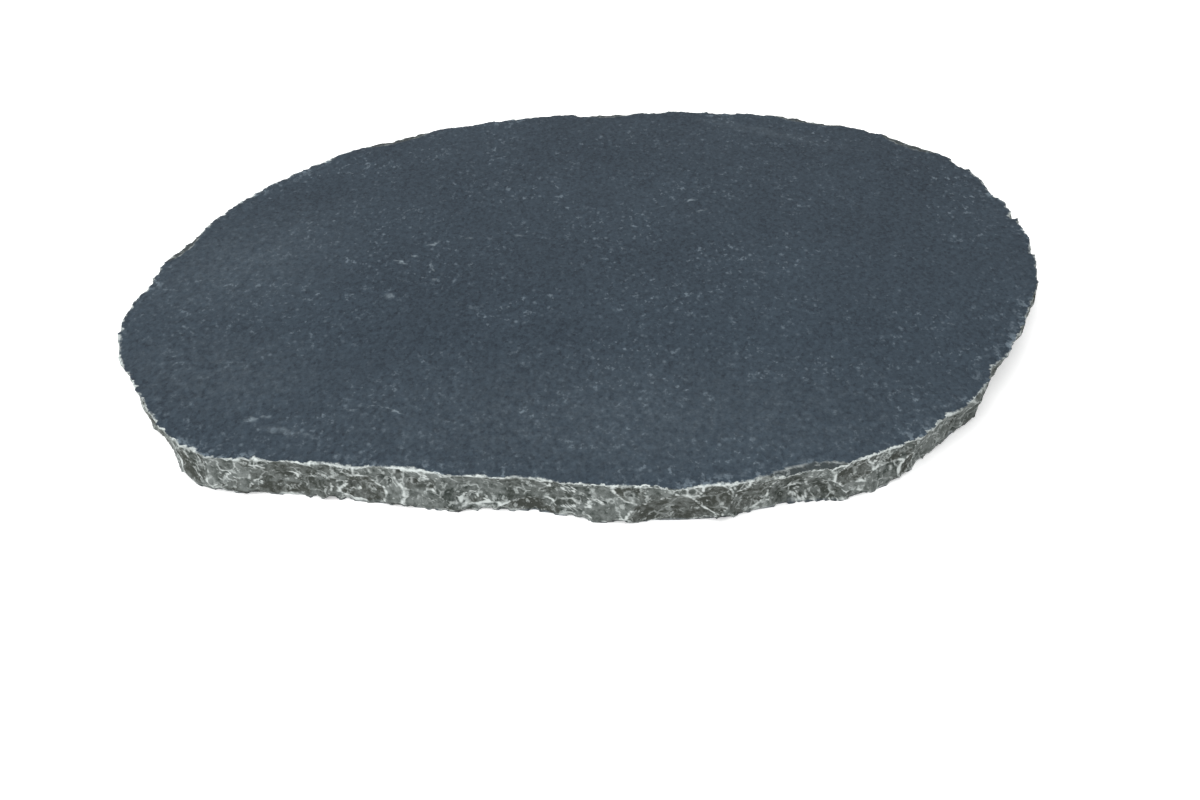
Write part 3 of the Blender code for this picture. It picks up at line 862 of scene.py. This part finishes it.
# The face is smooth to the hand and a little silky; the split edge is dull and gritty.
FACE_RELIEF = 0.15
EDGE_RELIEF = 0.9
tooth = add(limestone, NOISE, {}, {"Vector": spot, "Scale": per_metre(1.6), "Detail": 2.0})
grain_height = add(limestone, MIX, {"data_type": "FLOAT"}, {
    "Factor": split_here, "A": tooth, "B": grit})
relief = add(limestone, RANGE, {}, {
    "Value": split_here, "To Min": FACE_RELIEF * MM, "To Max": EDGE_RELIEF * MM})
bump = add(limestone, "ShaderNodeBump", {}, {
    "Height": grain_height, "Distance": relief, "Strength": 1.0})
roughness = add(limestone, RANGE, {}, {"Value": split_here, "To Min": 0.6, "To Max": 0.85})
shader = add(limestone, "ShaderNodeBsdfPrincipled", {}, {
    "Base Color": stone_colour, "Roughness": roughness, "IOR": 1.5, "Specular IOR Level": 0.12,
    "Normal": bump})
add(limestone, "ShaderNodeOutputMaterial", {}, {"Surface": shader})
stone_mesh.materials.append(limestone)
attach(stone, "root")
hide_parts("stepping_stone")


# ---------------------------------------------------------------------------
# The floor: a shadowless studio table of white opal acrylic, faintly lit from
# below, and wide enough to fill every view.
# ---------------------------------------------------------------------------

FLOOR_SIZE = 30.0
OPAL_WHITE = "#f6f6f6"
OPAL_GLOW = 0.35
floor_mesh = bpy.data.meshes.new("floor")
half = FLOOR_SIZE / 2
floor_corners = [(-half, -half, 0), (half, -half, 0), (half, half, 0), (-half, half, 0)]
floor_mesh.from_pydata(floor_corners, [], [(0, 1, 2, 3)])
floor = bpy.data.objects.new("floor", floor_mesh)
bpy.context.scene.collection.objects.link(floor)
opal = bpy.data.materials.new("opal acrylic, matt and lit from below")
opal.use_nodes = True
opal.node_tree.nodes.clear()
opal_shader = add(opal, "ShaderNodeBsdfPrincipled", {}, {
    "Base Color": colour(OPAL_WHITE), "Roughness": 0.9, "Specular IOR Level": 0.2,
    "Emission Color": colour(OPAL_WHITE), "Emission Strength": OPAL_GLOW})
add(opal, "ShaderNodeOutputMaterial", {}, {"Surface": opal_shader})
floor_mesh.materials.append(opal)


# ---------------------------------------------------------------------------
# The light: a white room, and one large soft lamp overhead, in front and to
# the left, so that the ridges of the edge catch it and shadows stay faint.
# ---------------------------------------------------------------------------

ROOM_STRENGTH = 0.9
LAMP_POWER = 45.0
LAMP_SIZE = 2.2
LAMP_PLACE = (-0.8, -0.9, 1.8)
room = bpy.data.worlds.new("white room")
room.use_nodes = True
walls = room.node_tree.nodes["Background"]
walls.inputs["Color"].default_value = (1.0, 1.0, 1.0, 1.0)
walls.inputs["Strength"].default_value = ROOM_STRENGTH
bpy.context.scene.world = room
lamp_light = bpy.data.lights.new("softbox", "AREA")
lamp_light.energy = LAMP_POWER
lamp_light.size = LAMP_SIZE
lamp = bpy.data.objects.new("softbox", lamp_light)
lamp.location = LAMP_PLACE
lamp.rotation_euler = (-Vector(LAMP_PLACE)).to_track_quat("-Z", "Y").to_euler()
bpy.context.scene.collection.objects.link(lamp)


# ---------------------------------------------------------------------------
# The camera: standing in front of the flag and looking down on it at 34
# degrees, from about an arm's length off.
# ---------------------------------------------------------------------------

LENS = 50.0
SENSOR = 36.0
LOOK_FROM = Vector((0.00284, -0.81123, 0.47982))
LOOK_AT = Vector((0.00284, -0.13397, 0.023))
camera_data = bpy.data.cameras.new("camera")
camera_data.lens = LENS
camera_data.sensor_width = SENSOR
camera = bpy.data.objects.new("camera", camera_data)
camera.location = LOOK_FROM
camera.rotation_euler = (LOOK_AT - LOOK_FROM).to_track_quat("-Z", "Y").to_euler()
bpy.context.scene.collection.objects.link(camera)
bpy.context.scene.camera = camera
bpy.context.scene.view_settings.view_transform = "Standard"
